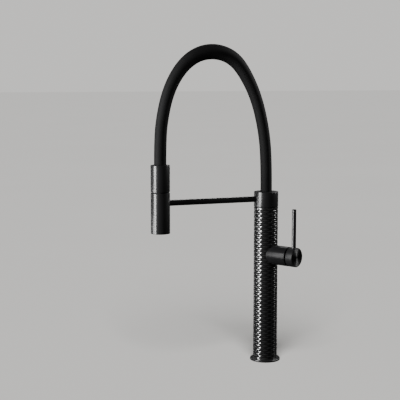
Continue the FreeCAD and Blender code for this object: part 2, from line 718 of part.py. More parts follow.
def check_document():
    """Stop if any object failed or any sub-part has no sound shape."""
    for item in doc.Objects:
        if {"Invalid", "Error"} & set(item.State):
            raise RuntimeError(f"{item.Label} failed: {item.State}")
    for name, item in nodes.items():
        if item.Shape.isNull() or not item.Shape.isValid():
            raise RuntimeError(f"{name} has no valid shape")
        if item.Label != name:
            raise RuntimeError(f"{name} was renamed {item.Label}")


def main():
    os.makedirs("parts", exist_ok=True)
    fill_sheet()
    for make in (
        deck_fixing, column, water_pipes, valve_block, handle_stub, cartridge, valve_rotor,
        sliding_disc, handle, swivel_base, swivel_top, spout_arm, hose, hose_end, spray_head,
    ):
        make()
    doc.recompute()
    check_document()
    for name, item in nodes.items():
        item.Shape.exportStep(f"parts/{name}.step")
    print(f"{len(nodes)} sub-parts written")


main()
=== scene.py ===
import math

import bmesh
import bpy
from bpy.props import FloatProperty, FloatVectorProperty, IntProperty, PointerProperty
from mathutils import Matrix, Vector


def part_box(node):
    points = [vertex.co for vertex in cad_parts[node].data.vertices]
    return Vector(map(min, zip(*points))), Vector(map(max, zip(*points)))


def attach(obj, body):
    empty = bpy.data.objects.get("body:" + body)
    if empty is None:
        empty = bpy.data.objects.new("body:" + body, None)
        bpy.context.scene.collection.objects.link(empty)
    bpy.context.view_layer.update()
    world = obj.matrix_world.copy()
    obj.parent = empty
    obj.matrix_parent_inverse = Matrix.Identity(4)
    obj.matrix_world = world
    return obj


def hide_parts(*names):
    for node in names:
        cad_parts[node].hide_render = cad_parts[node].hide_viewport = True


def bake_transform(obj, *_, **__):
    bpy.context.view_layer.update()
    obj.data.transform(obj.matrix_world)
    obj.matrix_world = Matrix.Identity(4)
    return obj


bl_info = {
    "name": "Woven Column Faucet",
    "version": (1, 0, 0),
    "blender": (4, 5, 0),
    "location": "3D View > Sidebar > Faucet",
    "description": "Builds the finished pieces of a pull-down kitchen faucet on its CAD frame",
    "category": "Add Mesh",
}

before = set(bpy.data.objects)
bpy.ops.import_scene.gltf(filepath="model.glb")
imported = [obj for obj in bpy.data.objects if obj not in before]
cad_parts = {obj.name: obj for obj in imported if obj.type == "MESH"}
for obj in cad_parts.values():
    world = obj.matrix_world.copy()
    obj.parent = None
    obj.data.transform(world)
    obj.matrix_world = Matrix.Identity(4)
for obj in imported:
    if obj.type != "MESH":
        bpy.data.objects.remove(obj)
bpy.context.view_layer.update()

MM = 0.001
ROUND_SIDES = 128
SMOOTH_ANGLE = math.radians(32)

# Points closer than this are one point.
NEAR = 0.004 * MM

# Clearances: a close fit, an easy fit, the room at the bottom of a hole, a visible gap.
CLOSE_FIT = 0.05 * MM
EASY_FIT = 0.1 * MM
HOLE_ROOM = 0.2 * MM
GAP = 0.3 * MM

# The rounding of an edge that is hardly seen, and the radius of the small flat in the
# middle of a turned end.
SMALL_EDGE = 0.3 * MM
CENTRE = 0.8 * MM


# Measures taken from the frame

def handle_box(node):
    """A CAD node's lowest and highest corner, seen in the handle's axes."""
    back = HANDLE.inverted()
    points = [back @ vertex.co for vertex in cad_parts[node].data.vertices]
    low = Vector(min(point[i] for point in points) for i in range(3))
    high = Vector(max(point[i] for point in points) for i in range(3))
    return low, high


def thread_radius():
    """The outer radius of the shank's thread, below its flange."""
    points = [vertex.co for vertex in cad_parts["threaded_shank"].data.vertices]
    return max(point.xy.length for point in points if point.z < -MM)


def handle_axes():
    """The handle's own axes: X along the stub, Z upwards, the origin in the column."""
    stub_low, stub_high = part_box("handle_stub")
    lever_low, lever_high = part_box("lever_rod")
    lever = (lever_low + lever_high) / 2
    height = (stub_low.z + stub_high.z) / 2
    turn = Matrix.Rotation(math.atan2(lever.y, lever.x), 4, "Z")
    return Matrix.Translation((0, 0, height)) @ turn


SLEEVE_LOW, SLEEVE_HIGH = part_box("woven_sleeve")
COLLAR_LOW, COLLAR_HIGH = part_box("swivel_collar")
RING_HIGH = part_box("base_ring")[1]
SHANK_LOW, SHANK_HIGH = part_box("threaded_shank")
SHELL_LOW, SHELL_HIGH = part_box("spray_shell")
END_LOW, END_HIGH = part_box("hose_end_sleeve")
HEAD_AXIS = Matrix.Translation(((SHELL_LOW.x + SHELL_HIGH.x) / 2, 0, 0))
HANDLE = handle_axes()
ALONG_HANDLE = HANDLE @ Matrix.Rotation(math.radians(90), 4, "Y")


# Sizes and colours that a user would change

def length(name, description, default):
    """A length in metres, given in millimetres."""
    return FloatProperty(
        name=name, description=description, default=default * MM, unit="LENGTH", precision=5)


def colour(name, description, default):
    """A linear colour."""
    return FloatVectorProperty(
        name=name, description=description, default=default, subtype="COLOR",
        size=3, min=0, max=1)


class FaucetStage(bpy.types.PropertyGroup):
    camera_distance: length("Distance", "Level distance from the column to the camera", 1735)
    camera_height: length("Height", "The camera's height above the worktop", 488.4)
    camera_aside: length("Aside", "How far the column stands right of the camera's axis", 113)
    camera_heading: FloatProperty(
        name="Heading", description="The camera's turn from looking along +Y towards +X",
        default=math.radians(20.535), subtype="ANGLE")
    camera_pitch: FloatProperty(
        name="Pitch", description="How far the camera looks down",
        default=math.radians(6.9), subtype="ANGLE")
    camera_lens: FloatProperty(
        name="Lens", description="Focal length on a 36 mm sensor", default=92.0, unit="CAMERA")
    key_power: FloatProperty(
        name="Key light", description="Power of the tall strip on the left",
        default=45.0, unit="POWER")
    room_light: FloatProperty(
        name="Room light", description="Even light from the dim room", default=0.05, min=0)
    floor_light: FloatProperty(
        name="Floor light", description="Strength of the soft light on the floor",
        default=4.7, min=0)
    floor_colour: colour("Floor", "The pale floor", (0.70, 0.69, 0.67))
    backdrop_colour: colour("Backdrop", "The pale room behind the faucet", (0.76, 0.75, 0.73))


class FaucetColours(bpy.types.PropertyGroup):
    black: colour("Satin black", "The coating on every visible metal piece",
                  (0.0105, 0.0105, 0.011))
    hose: colour("Hose", "The rubber of the hose", (0.0065, 0.0065, 0.0067))
    seal: colour("Seals", "The rubber of washers and seals", (0.013, 0.013, 0.013))
    brass: colour("Brass", "Machined brass", (0.72, 0.52, 0.25))
    steel: colour("Steel", "Stainless steel", (0.60, 0.59, 0.57))
    nickel: colour("Nickel", "The magnet's plating", (0.70, 0.67, 0.60))
    ceramic: colour("Ceramic", "The lapped valve discs", (0.82, 0.80, 0.75))
    pale: colour("Pale plastic", "Moulded valve and spray pieces", (0.70, 0.69, 0.64))
    dark: colour("Dark plastic", "Moulded slip rings and outlet", (0.014, 0.014, 0.015))


class FaucetColumn(bpy.types.PropertyGroup):
    strands: IntProperty(
        name="Upright strands", description="How many upright strands stand round the column",
        default=18, min=4)
    rows: IntProperty(
        name="Level strands", description="How many level strands lie up the column",
        default=70, min=2)
    relief: length("Relief", "Depth of the weave", 0.85)
    weave_turn: FloatProperty(
        name="Weave turn", description="Angle of the first upright strand from +X",
        default=math.radians(7.5), subtype="ANGLE")
    strand_quads: IntProperty(
        name="Quads", description="Grid quads across an upright strand's pitch",
        default=12, min=4)
    row_quads: IntProperty(
        name="Row quads", description="Grid quads up a level strand's pitch",
        default=6, min=4)
    rim: length("Rim", "Plain band at each end of the weave", 1.2)
    rim_height: FloatProperty(
        name="Rim height", description="The plain band's share of the relief", default=0.8)
    backing: length("Backing", "Metal behind the weave", 0.35)
    thread_pitch: length("Thread pitch", "Pitch of the shank's thread", 1.5)
    shank_bore: length("Shank bore", "Radius of the hole through the shank", 14)
    thread_lead: length("Thread lead", "Bevel where the thread starts", 0.4)
    gasket_groove: length("Gasket groove", "Inner radius of the gasket's groove", 18.5)
    ring_edge: length("Ring edge", "Rounding of the base ring's upper edge", 1.1)


class FaucetHandle(bpy.types.PropertyGroup):
    ridge_pitch: length("Ridge pitch", "Spacing of the turned ridges on the knob's face", 0.6)
    ridge_slope: FloatProperty(
        name="Ridge slope", description="Slope of each ridge's flanks",
        default=math.radians(31), subtype="ANGLE")
    edge: length("Edge", "Rounding of the turned edges", 0.45)
    rim: length("Knob rim", "Wall round the recess behind the knob", 2.5)
    recess: length("Knob recess", "Depth of the recess behind the knob", 2)
    face_rim: length("Face rim", "Plain band round the knob's ridged face", 1.1)
    screw_hole: length("Screw hole", "Radius of the grub screw's hole below the knob", 2)
    lever_edge: length("Lever edge", "Rounding of the lever's tip", 0.7)


class FaucetHose(bpy.types.PropertyGroup):
    radius: length("Radius", "Outer radius where the hose leaves the collar", 9.8)
    widening: length("Widening", "How much wider the hose is at the spray head", 0.4)
    swell: length("Swell", "Extra radius at the crown of the arch", 2.8)
    wall: length("Wall", "Thickness of the rubber", 2.5)
    tube_radius: length("Water tube", "Outer radius of the water tube inside", 5.6)
    tube_wall: length("Tube wall", "Wall of the water tube", 2.0)
    collar_mouth: length("Collar mouth", "Radius of the hole that the hose leaves", 10.2)
    head_mouth: length("Head mouth", "Radius of the hole that the hose enters", 10.6)
    spring_radius: length("Spring radius", "Radius of the spring's coils", 6.5)
    spring_wire: length("Spring wire", "Radius of the spring's wire", 0.48)
    spring_pitch: length("Spring pitch", "Distance from one coil to the next", 2.4)


# Shader maths

# A mix node's sockets for mixing colours: the share and both colours, then the result.
MIX_INPUTS = (0, 6, 7)
MIX_OUTPUT = 2


class Socket:
    """A node's output that takes part in plain arithmetic."""

    def __init__(self, tree, output):
        self.tree = tree
        self.output = output

    def maths(self, operation, first, second):
        return self.tree.node(
            "ShaderNodeMath", {"operation": operation}, {0: first, 1: second})

    def __add__(self, other):
        return self.maths("ADD", self, other)

    def __rsub__(self, other):
        return self.maths("SUBTRACT", other, self)

    def __mul__(self, other):
        return self.maths("MULTIPLY", self, other)

    def __pow__(self, other):
        return self.maths("POWER", self, other)

    __radd__ = __add__
    __rmul__ = __mul__

    def within(self, low, high):
        """The share of the way from low to high, held between 0 and 1."""
        return self.tree.node(
            "ShaderNodeMapRange", {"clamp": True},
            {"Value": self, "From Min": low, "From Max": high})


class Tree:
    """A node tree in which one method adds any node."""

    def __init__(self, nodes):
        self.nodes = nodes.nodes
        self.links = nodes.links

    def node(self, kind, settings=None, inputs=None, output=0):
        item = self.nodes.new(kind)
        for name, value in (settings or {}).items():
            setattr(item, name, value)
        for name, value in (inputs or {}).items():
            self.feed(item.inputs[name], value)
        return Socket(self, item.outputs[output])

    def feed(self, socket, value):
        """Link or set one input."""
        if isinstance(value, Socket):
            self.links.new(value.output, socket)
        else:
            socket.default_value = value


class Finish(Tree):
    """A material on the Principled shader, patterned in the object's own metres."""

    def __init__(self, name, axes=None, **constants):
        self.material = bpy.data.materials.new(name)
        self.material.use_nodes = True
        super().__init__(self.material.node_tree)
        self.shader = self.nodes["Principled BSDF"]
        for label, value in constants.items():
            self.shader.inputs[label.replace("_", " ")].default_value = value
        self.place = self.node("ShaderNodeTexCoord", output="Object")
        if axes:
            self.place = self.seen_in(axes)

    def seen_in(self, axes):
        """The place measured in other axes, for patterns turned about their own centre."""
        back = axes.inverted()
        return self.node("ShaderNodeMapping", {"vector_type": "POINT"}, {
            "Vector": self.place, "Location": back.translation,
            "Rotation": back.to_euler("XYZ")})

    def around(self):
        """The place's distance from the Z axis, and its height along the axis."""
        split = self.nodes.new("ShaderNodeSeparateXYZ")
        self.feed(split.inputs[0], self.place)
        x, y, z = (Socket(self, split.outputs[i]) for i in range(3))
        return (x * x + y * y) ** 0.5, z

    def noise(self, scale, detail=2.0, roughness=0.5, place=None):
        """Noise from 0 to 1, with scale in grains per metre."""
        return self.node("ShaderNodeTexNoise", {"noise_dimensions": "3D"}, {
            "Vector": place or self.place, "Scale": scale, "Detail": detail,
            "Roughness": roughness})

    def rings(self, scale, detail):
        """Noise in rings about the Z axis, as a lathe leaves them."""
        radius, height = self.around()
        return self.noise(scale, detail, place=self.node(
            "ShaderNodeCombineXYZ", inputs={0: radius, 1: height, 2: 0.0}))

    def mix(self, share, first, second):
        """A colour between two others."""
        made = self.nodes.new("ShaderNodeMix")
        made.data_type = "RGBA"
        for index, value in zip(MIX_INPUTS, (share, opaque(first), opaque(second))):
            self.feed(made.inputs[index], value)
        return Socket(self, made.outputs[MIX_OUTPUT])

    def bump(self, height, distance, strength):
        """Raise the surface by a height from 0 to 1, times a distance in millimetres."""
        self.feed(self.shader.inputs["Normal"], self.node("ShaderNodeBump", inputs={
            "Height": height, "Distance": distance * MM, "Strength": strength}))

    def finish(self, base, roughness):
        """Link what varies over the surface and give back the material."""
        self.feed(self.shader.inputs["Base Color"], base)
        self.feed(self.shader.inputs["Roughness"], roughness)
        return self.material


def opaque(value):
    """A colour with full alpha, or a socket as it is."""
    return value if isinstance(value, Socket) else (*value, 1.0)


def tone(base, factor):
    """A colour made lighter or darker."""
    return tuple(min(1.0, part * factor) for part in base)


# Materials

def satin_black(name, base, axes=None, gloss=0.65):
    """A fine powder coat: orange peel, slow change of sheen and a few dust specks."""
    made = Finish(name, axes, Specular_IOR_Level=gloss)
    peel = made.noise(1500, 2.0)
    cloud = made.noise(28, 3.0)
    dust = made.noise(900, 1.0).within(0.70, 0.80)
    made.bump(peel, 0.04, 0.3)
    body = made.mix(cloud, tone(base, 0.8), tone(base, 1.35))
    base_colour = made.mix(dust * 0.35, body, tone(base, 4.0))
    return made.finish(base_colour, 0.25 + 0.05 * cloud + 0.05 * peel)


def turned_black(name, base, axes):
    """The same coating over a face turned in fine rings about its own axis."""
    made = Finish(name, axes, Specular_IOR_Level=0.14)
    rings = made.rings(5200, 2.0)
    cloud = made.noise(30, 3.0)
    made.bump(rings, 0.03, 0.5)
    base_colour = made.mix(cloud * 0.5 + rings * 0.5, tone(base, 0.8), tone(base, 1.5))
    return made.finish(base_colour, 0.36 + 0.06 * cloud + 0.06 * rings)


def woven_black(name, base, low, high):
    """The coating on the weave, glossy on top of the strands and dull down between them; its
    colour is darkened by painted shade down between the strands and is lighter on their tops.
    """
    made = Finish(name, Specular_IOR_Level=0.12, Coat_Roughness=0.2, Coat_IOR=2.1)
    crest = made.around()[0].within(low, high)
    peel = made.noise(1600, 2.0)
    cloud = made.noise(40, 3.0)
    made.bump(peel, 0.04, 0.4)
    # How proud the surface stands: it sets the coat's gloss, and it also sets the painted shade
    # between the strands.
    proud_and_groove_shade = crest.within(0.50, 0.74)
    made.feed(made.shader.inputs["Coat Weight"], proud_and_groove_shade * 0.9 + cloud * 0.1)
    # Painted shade: the colour goes dark down between the strands, where the weave's gaps lie in
    # shade, and lighter on the strands' tops.
    base_colour = made.mix(proud_and_groove_shade * 0.8 + cloud * 0.2, tone(base, 0.3), tone(base, 1.4))
    return made.finish(base_colour, 0.6 - 0.2 * proud_and_groove_shade)


def rubber(name, base, grain, roughness):
    """Matte rubber with a fine skin, faint bloom and scuffs."""
    made = Finish(name, Specular_IOR_Level=0.15)
    skin = made.noise(grain, 3.0, 0.6)
    bloom = made.noise(24, 4.0, 0.6)
    made.bump(skin, 0.06, 0.6)
    base_colour = made.mix(bloom.within(0.35, 0.7) * 0.7 + skin * 0.3,
                           tone(base, 0.75), tone(base, 1.6))
    return made.finish(base_colour, roughness + 0.1 * bloom)


def machined(name, base, roughness, axes=None):
    """Bare metal turned on a lathe, with fine tool rings and a slow tarnish."""
    made = Finish(name, axes, Metallic=1.0)
    rings = made.rings(3600, 3.0)
    cloud = made.noise(45, 3.0)
    made.bump(rings, 0.03, 0.5)
    base_colour = made.mix(cloud.within(0.3, 0.7), tone(base, 0.85), base)
    return made.finish(base_colour, roughness + 0.12 * rings + 0.06 * cloud)


def moulded(name, base, roughness, spread=0.12, gloss=0.5):
    """Moulded plastic or lapped ceramic with a fine even grain."""
    made = Finish(name, Specular_IOR_Level=gloss)
    grain = made.noise(2200, 2.0)
    cloud = made.noise(60, 2.0)
    made.bump(grain, 0.02, 0.4)
    base_colour = made.mix(cloud, tone(base, 1 - spread), tone(base, 1 + spread / 2))
    return made.finish(base_colour, roughness + 0.08 * grain)


def floor_finish(base):
    """A plain pale floor with a very slow change of tone."""
    made = Finish("pale_floor")
    cloud = made.noise(1.5, 2.0)
    return made.finish(made.mix(cloud, tone(base, 0.97), base), 0.6 + 0.05 * cloud)


def shared(name, make, *facts, **more):
    """A material made once and used by every piece of that finish."""
    name = "finish_" + name
    return bpy.data.materials.get(name) or make(name, *facts, **more)


# Modelling

def alone(item):
    """Select one object and nothing else."""
    bpy.ops.object.select_all(action="DESELECT")
    item.select_set(True)
    bpy.context.view_layer.objects.active = item
    return item


def started(name):
    """Name the primitive just added and open it for editing."""
    item = alone(bpy.context.active_object)
    item.name = name
    item.data.name = name
    bpy.ops.object.mode_set(mode="EDIT")
    return item


def finish_editing():
    """Point every face outwards and leave edit mode."""
    bpy.ops.mesh.select_all(action="SELECT")
    bpy.ops.mesh.normals_make_consistent(inside=False)
    bpy.ops.object.mode_set(mode="OBJECT")


def select_where(item, kind, test):
    """In edit mode, select the vertices, edges or faces that pass a test, and no others."""
    bpy.ops.mesh.select_all(action="DESELECT")
    bpy.ops.mesh.select_mode(type=kind)
    mesh = bmesh.from_edit_mesh(item.data)
    parts = {"VERT": mesh.verts, "EDGE": mesh.edges, "FACE": mesh.faces}[kind]
    for part in parts:
        if test(part):
            part.select_set(True)
    mesh.select_flush_mode()
    bmesh.update_edit_mesh(item.data)


def on_ring(radius, height):
    """A test for an edge that lies on one ring round the Z axis."""
    def test(edge):
        return all(
            abs(vertex.co.z - height) < NEAR / 2
            and abs(vertex.co.xy.length - radius) < NEAR
            for vertex in edge.verts)
    return test


def turned(name, corners, sides=ROUND_SIDES, filled=False):
    """Raise a ring through corners of (radius, height, rounding) about the Z axis.

    A filled shape gets a face on its first and last ring. Any other is closed on itself."""
    bpy.ops.object.select_all(action="DESELECT")
    radius, height = corners[0][:2]
    bpy.ops.mesh.primitive_circle_add(vertices=sides, radius=radius, location=(0, 0, height))
    bpy.ops.object.transform_apply(location=True, rotation=True, scale=True)
    item = started(name)
    bpy.ops.mesh.select_mode(type="EDGE")
    bpy.ops.mesh.select_all(action="SELECT")
    if filled:
        bpy.ops.mesh.edge_face_add()
        select_where(item, "EDGE", on_ring(radius, height))
    for corner in corners[1:]:
        bpy.ops.mesh.extrude_edges_move(
            TRANSFORM_OT_translate={"value": (0, 0, corner[1] - height)})
        share = corner[0] / radius
        radius, height = corner[:2]
        bpy.ops.transform.resize(value=(share, share, 1), center_override=(0, 0, height))
    if filled:
        bpy.ops.mesh.edge_face_add()
    else:
        first, last = on_ring(*corners[0][:2]), on_ring(radius, height)
        select_where(item, "EDGE", lambda edge: first(edge) or last(edge))
        bpy.ops.mesh.bridge_edge_loops()
    round_rings(item, corners)
    finish_editing()
    return item


def round_rings(item, corners):
    """Bevel each ring whose corner asks for a rounding."""
    for corner in corners:
        if len(corner) == 3:
            select_where(item, "EDGE", on_ring(*corner[:2]))
            bpy.ops.mesh.bevel(offset=corner[2], segments=4, profile=0.5, affect="EDGES")


def set_in(item, axes):
    """Put a piece modelled at the origin into its own axes, leaving its object untransformed."""
    alone(item)
    item.matrix_world = axes
    bpy.ops.object.transform_apply(location=True, rotation=True, scale=True)
    return item


def bar(radius, low, high, axes=Matrix.Identity(4)):
    """A plain round tool for cutting, from low to high along its own Z axis."""
    bpy.ops.object.select_all(action="DESELECT")
    bpy.ops.mesh.primitive_cylinder_add(
        vertices=ROUND_SIDES, radius=radius, depth=high - low,
        location=(0, 0, (low + high) / 2))
    bpy.ops.object.transform_apply(location=True, rotation=True, scale=True)
    return set_in(bpy.context.active_object, axes)


def combine(item, tool, operation="DIFFERENCE"):
    """Cut a tool out of a piece, or join it on, and remove the tool."""
    alone(item)
    modifier = item.modifiers.new("combine", "BOOLEAN")
    modifier.operation = operation
    modifier.solver = "EXACT"
    modifier.object = tool
    bpy.ops.object.modifier_apply(modifier=modifier.name)
    bpy.data.objects.remove(tool)
    return item


def smoothed(item, angle=SMOOTH_ANGLE):
    """Shade a piece smooth, with sharp edges where it turns by more than the angle."""
    alone(item)
    bpy.ops.object.shade_smooth_by_angle(angle=angle)
    return item


def cleaned(item):
    """Merge doubles and point every face outwards."""
    alone(item)
    bpy.ops.object.mode_set(mode="EDIT")
    bpy.ops.mesh.select_all(action="SELECT")
    bpy.ops.mesh.remove_doubles(threshold=NEAR)
    finish_editing()
    return item


def dressed(item, material, slot, *nodes):
    """Give a piece its material and hide the CAD nodes that it stands for; the slot is not used.
    """
    item.data.materials.clear()
    item.data.materials.append(material)
    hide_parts(*nodes)
    return item


def black(axes=None):
    """The satin black coating."""
    colours = bpy.context.scene.faucet_colours
    if axes is None:
        return shared("satin_black", satin_black, colours.black)
    return shared("satin_black_handle", satin_black, colours.black, axes=axes, gloss=0.07)


# Operators

# Soft lights round the faucet: bearing to the left of the camera's side in degrees,
# distance, height, width and length in metres, and power as a share of the key light's.
STRIPS = [
    ("key_strip", 63, 1.25, 0.36, 0.23, 1.3, 1.0),
    ("low_left_strip", 84, 0.9, 0.03, 0.35, 0.1, 0.05),
    ("left_back_strip", 142, 1.3, 0.45, 0.10, 1.4, 0.05),
    ("right_back_strip", -150, 1.5, 0.45, 0.10, 1.3, 0.02),
    ("high_back", 186, 1.5, 1.45, 0.4, 0.3, 0.09),
    ("high_right", -107, 1.3, 0.95, 0.3, 0.7, 0.4),
]


class FAUCET_OT_stage(bpy.types.Operator):
    """Make the camera, the floor, the room and the lights"""

    bl_idname = "faucet.stage"
    bl_label = "Stage"

    aim_height = 0.25

    def execute(self, context):
        sizes = context.scene.faucet_stage
        ahead = Vector((math.sin(sizes.camera_heading), math.cos(sizes.camera_heading), 0))
        right = Vector((ahead.y, -ahead.x, 0))
        self.camera(context, sizes, ahead, right)
        self.floor(sizes)
        self.room(context, sizes)
        middle = Vector((HEAD_AXIS.translation.x / 2, 0, 0))
        for name, bearing, distance, height, width, tall, share in STRIPS:
            turn = math.radians(bearing)
            spot = middle - ahead * math.cos(turn) * distance - right * math.sin(turn) * distance
            self.lamp(name, spot + Vector((0, 0, height)), middle, width, tall,
                      sizes.key_power * share)
        return {"FINISHED"}

    def camera(self, context, sizes, ahead, right):
        spot = -ahead * sizes.camera_distance - right * sizes.camera_aside
        spot.z = sizes.camera_height
        bpy.ops.object.camera_add(location=spot, rotation=(
            math.radians(90) - sizes.camera_pitch, 0, -sizes.camera_heading))
        camera = context.active_object
        camera.name = "camera"
        camera.data.sensor_width = 36.0
        camera.data.lens = sizes.camera_lens
        context.scene.camera = camera

    def floor(self, sizes):
        bpy.ops.mesh.primitive_plane_add(size=60, location=(0, 0, -0.1 * MM))
        floor = bpy.context.active_object
        floor.name = "floor"
        floor.data.materials.append(floor_finish(sizes.floor_colour))
        floor.visible_glossy = False
        floor.visible_diffuse = False
        bpy.ops.object.light_add(type="SUN", rotation=(math.radians(38), math.radians(-22), 0))
        sun = bpy.context.active_object
        sun.name = "floor_light"
        sun.data.energy = sizes.floor_light
        sun.data.angle = math.radians(35)
        sun.light_linking.receiver_collection = self.floor_list(floor, "INCLUDE")
        self.no_floor = self.floor_list(floor, "EXCLUDE")

    def floor_list(self, floor, state):
        """A light's list that holds the floor, to light nothing else or to leave it out."""
        listed = bpy.data.collections.new("floor_" + state.lower())
        listed.objects.link(floor)
        listed.collection_objects[0].light_linking.link_state = state
        return listed

    def room(self, context, sizes):
        """Even light from a dim room, which the camera sees as a pale backdrop."""
        world = bpy.data.worlds.new("room")
        context.scene.world = world
        world.use_nodes = True
        tree = Tree(world.node_tree)
        tree.nodes.clear()
        seen = tree.node("ShaderNodeBackground", inputs={
            "Color": opaque(sizes.backdrop_colour), "Strength": 1.0})
        light = tree.node("ShaderNodeBackground", inputs={
            "Color": opaque(sizes.backdrop_colour), "Strength": sizes.room_light})
        ray = tree.node("ShaderNodeLightPath", output="Is Camera Ray")
        mixed = tree.node("ShaderNodeMixShader", inputs={0: ray, 1: light, 2: seen})
        output = tree.nodes.new("ShaderNodeOutputWorld")
        tree.feed(output.inputs["Surface"], mixed)

    def lamp(self, name, spot, target, width, tall, power):
        """A soft strip that faces the faucet, leaves the floor out and isn't seen itself."""
        facing = Vector((target.x, target.y, self.aim_height)) - spot
        bpy.ops.object.light_add(
            type="AREA", location=spot, rotation=facing.to_track_quat("-Z", "Y").to_euler())
        lamp = bpy.context.active_object
        lamp.name = name
        lamp.data.shape = "RECTANGLE"
        lamp.data.size = width
        lamp.data.size_y = tall
        lamp.data.energy = power
        lamp.visible_camera = False
        lamp.light_linking.receiver_collection = self.no_floor


# The hose's route in the X-Z plane, in millimetres, from the collar to the spray head.
ROUTE = [
    (0, 289.7), (0, 343), (-5, 398), (-20, 456), (-45, 502), (-67, 522.5), (-97, 530.5),
    (-128, 524), (-155, 502), (-176.5, 464), (-188, 414), (-190.3, 372), (-190.3, 341.2),
]


class FAUCET_OT_hose(bpy.types.Operator):
    """Bend the rubber hose along its route, with the spring and the water tube inside it"""

    bl_idname = "faucet.hose"
    bl_label = "Hose"

    # How far along the hose the swelling peaks, and how far it spreads, as shares of the
    # length; then the steps in one coil of the spring.
    crown_share = 0.54
    swell_spread = 0.14
    coil_steps = 18

    def execute(self, context):
        sizes = context.scene.faucet_hose
        colours = context.scene.faucet_colours
        points = [Vector((x * MM, 0, z * MM)) for x, z in ROUTE]
        reached = self.distances(points)
        radii = [self.radius(sizes, distance / reached[-1]) for distance in reached]
        even = [1.0] * len(points)
        hose = self.pipe("hose", points, radii, 1.0, sizes.wall)
        hose_skin = shared("hose_rubber", rubber, colours.hose, 1900, 0.68)
        self.bent(dressed(hose, hose_skin, "hose_rubber", "hose_sleeve"))
        tube = self.pipe("water_tube_bent", points, even, sizes.tube_radius, sizes.tube_wall)
        pale = shared("pale_plastic", moulded, colours.pale, 0.38)
        self.bent(dressed(tube, pale, "pale_plastic", "water_tube"))
        spring = self.spring(sizes, self.line(points))
        steel = shared("steel", machined, colours.steel, 0.24)
        self.bent(dressed(spring, steel, "steel", "support_spring"))
        return {"FINISHED"}

    def distances(self, points):
        """How far along the line through all the points each one is."""
        reached = [0.0]
        for before, after in zip(points, points[1:]):
            reached.append(reached[-1] + (after - before).length)
        return reached

    def radius(self, sizes, share):
        """The outer radius: a little wider along the hose, and swollen at the crown."""
        swell = math.exp(-(((share - self.crown_share) / self.swell_spread) ** 2))
        return sizes.radius + share * sizes.widening + swell * sizes.swell

    def curve(self, name, points, radii, depth):
        """A NURBS curve on the route's points, bevelled to a round tube."""
        data = bpy.data.curves.new(name, "CURVE")
        data.dimensions = "3D"
        data.bevel_depth = depth
        data.bevel_resolution = 10
        data.resolution_u = 14
        spline = data.splines.new("NURBS")
        spline.points.add(len(points) - 1)
        for spot, point, radius in zip(spline.points, points, radii):
            spot.co = (*point, 1.0)
            spot.radius = radius
        spline.order_u = 3
        spline.use_endpoint_u = True
        item = bpy.data.objects.new(name, data)
        bpy.context.scene.collection.objects.link(item)
        return item

    def pipe(self, name, points, radii, depth, wall):
        """A bent tube with a real wall and closed ends."""
        item = alone(self.curve(name, points, radii, depth))
        bpy.ops.object.convert(target="MESH")
        item = cleaned(bpy.context.active_object)
        solid = item.modifiers.new("wall", "SOLIDIFY")
        solid.thickness = wall
        solid.offset = -1
        solid.use_even_offset = True
        bpy.ops.object.modifier_apply(modifier=solid.name)
        return smoothed(item)

    def line(self, points):
        """Points close together along the route's curve."""
        item = self.curve("route", points, [1.0] * len(points), 0.0)
        mesh = bpy.data.meshes.new_from_object(item)
        line = [vertex.co.copy() for vertex in mesh.vertices]
        bpy.data.objects.remove(item)
        return line

    def spring(self, sizes, line):
        """A wire wound round the route in even coils."""
        reached = self.distances(line)
        count = int(reached[-1] / sizes.spring_pitch * self.coil_steps)
        data = bpy.data.curves.new("spring", "CURVE")
        data.dimensions = "3D"
        data.bevel_depth = sizes.spring_wire
        data.bevel_resolution = 1
        data.use_fill_caps = True
        spline = data.splines.new("POLY")
        spline.points.add(count)
        across = Vector((0, 1, 0))
        piece = 0
        for i in range(count + 1):
            distance = min(reached[-1], i * sizes.spring_pitch / self.coil_steps)
            while piece < len(line) - 2 and reached[piece + 1] < distance:
                piece += 1
            along = line[piece + 1] - line[piece]
            spot = line[piece] + along * ((distance - reached[piece]) / along.length)
            out = across.cross(along).normalized()
            turn = 2 * math.pi * i / self.coil_steps
            spot = spot + (out * math.cos(turn) + across * math.sin(turn)) * sizes.spring_radius
            spline.points[i].co = (*spot, 1.0)
        item = bpy.data.objects.new("hose_spring", data)
        bpy.context.scene.collection.objects.link(item)
        alone(item)
        bpy.ops.object.convert(target="MESH")
        return smoothed(cleaned(bpy.context.active_object), math.radians(60))

    def bent(self, item):
        """Bake a piece's transform into its mesh."""
        clear = bpy.context.scene.faucet_hose.radius * 1.2
        top = END_HIGH.z
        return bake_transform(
            item, "spout", "hose_end", start=(-clear, 0, top),
            end=(HEAD_AXIS.translation.x + clear, 0, top))


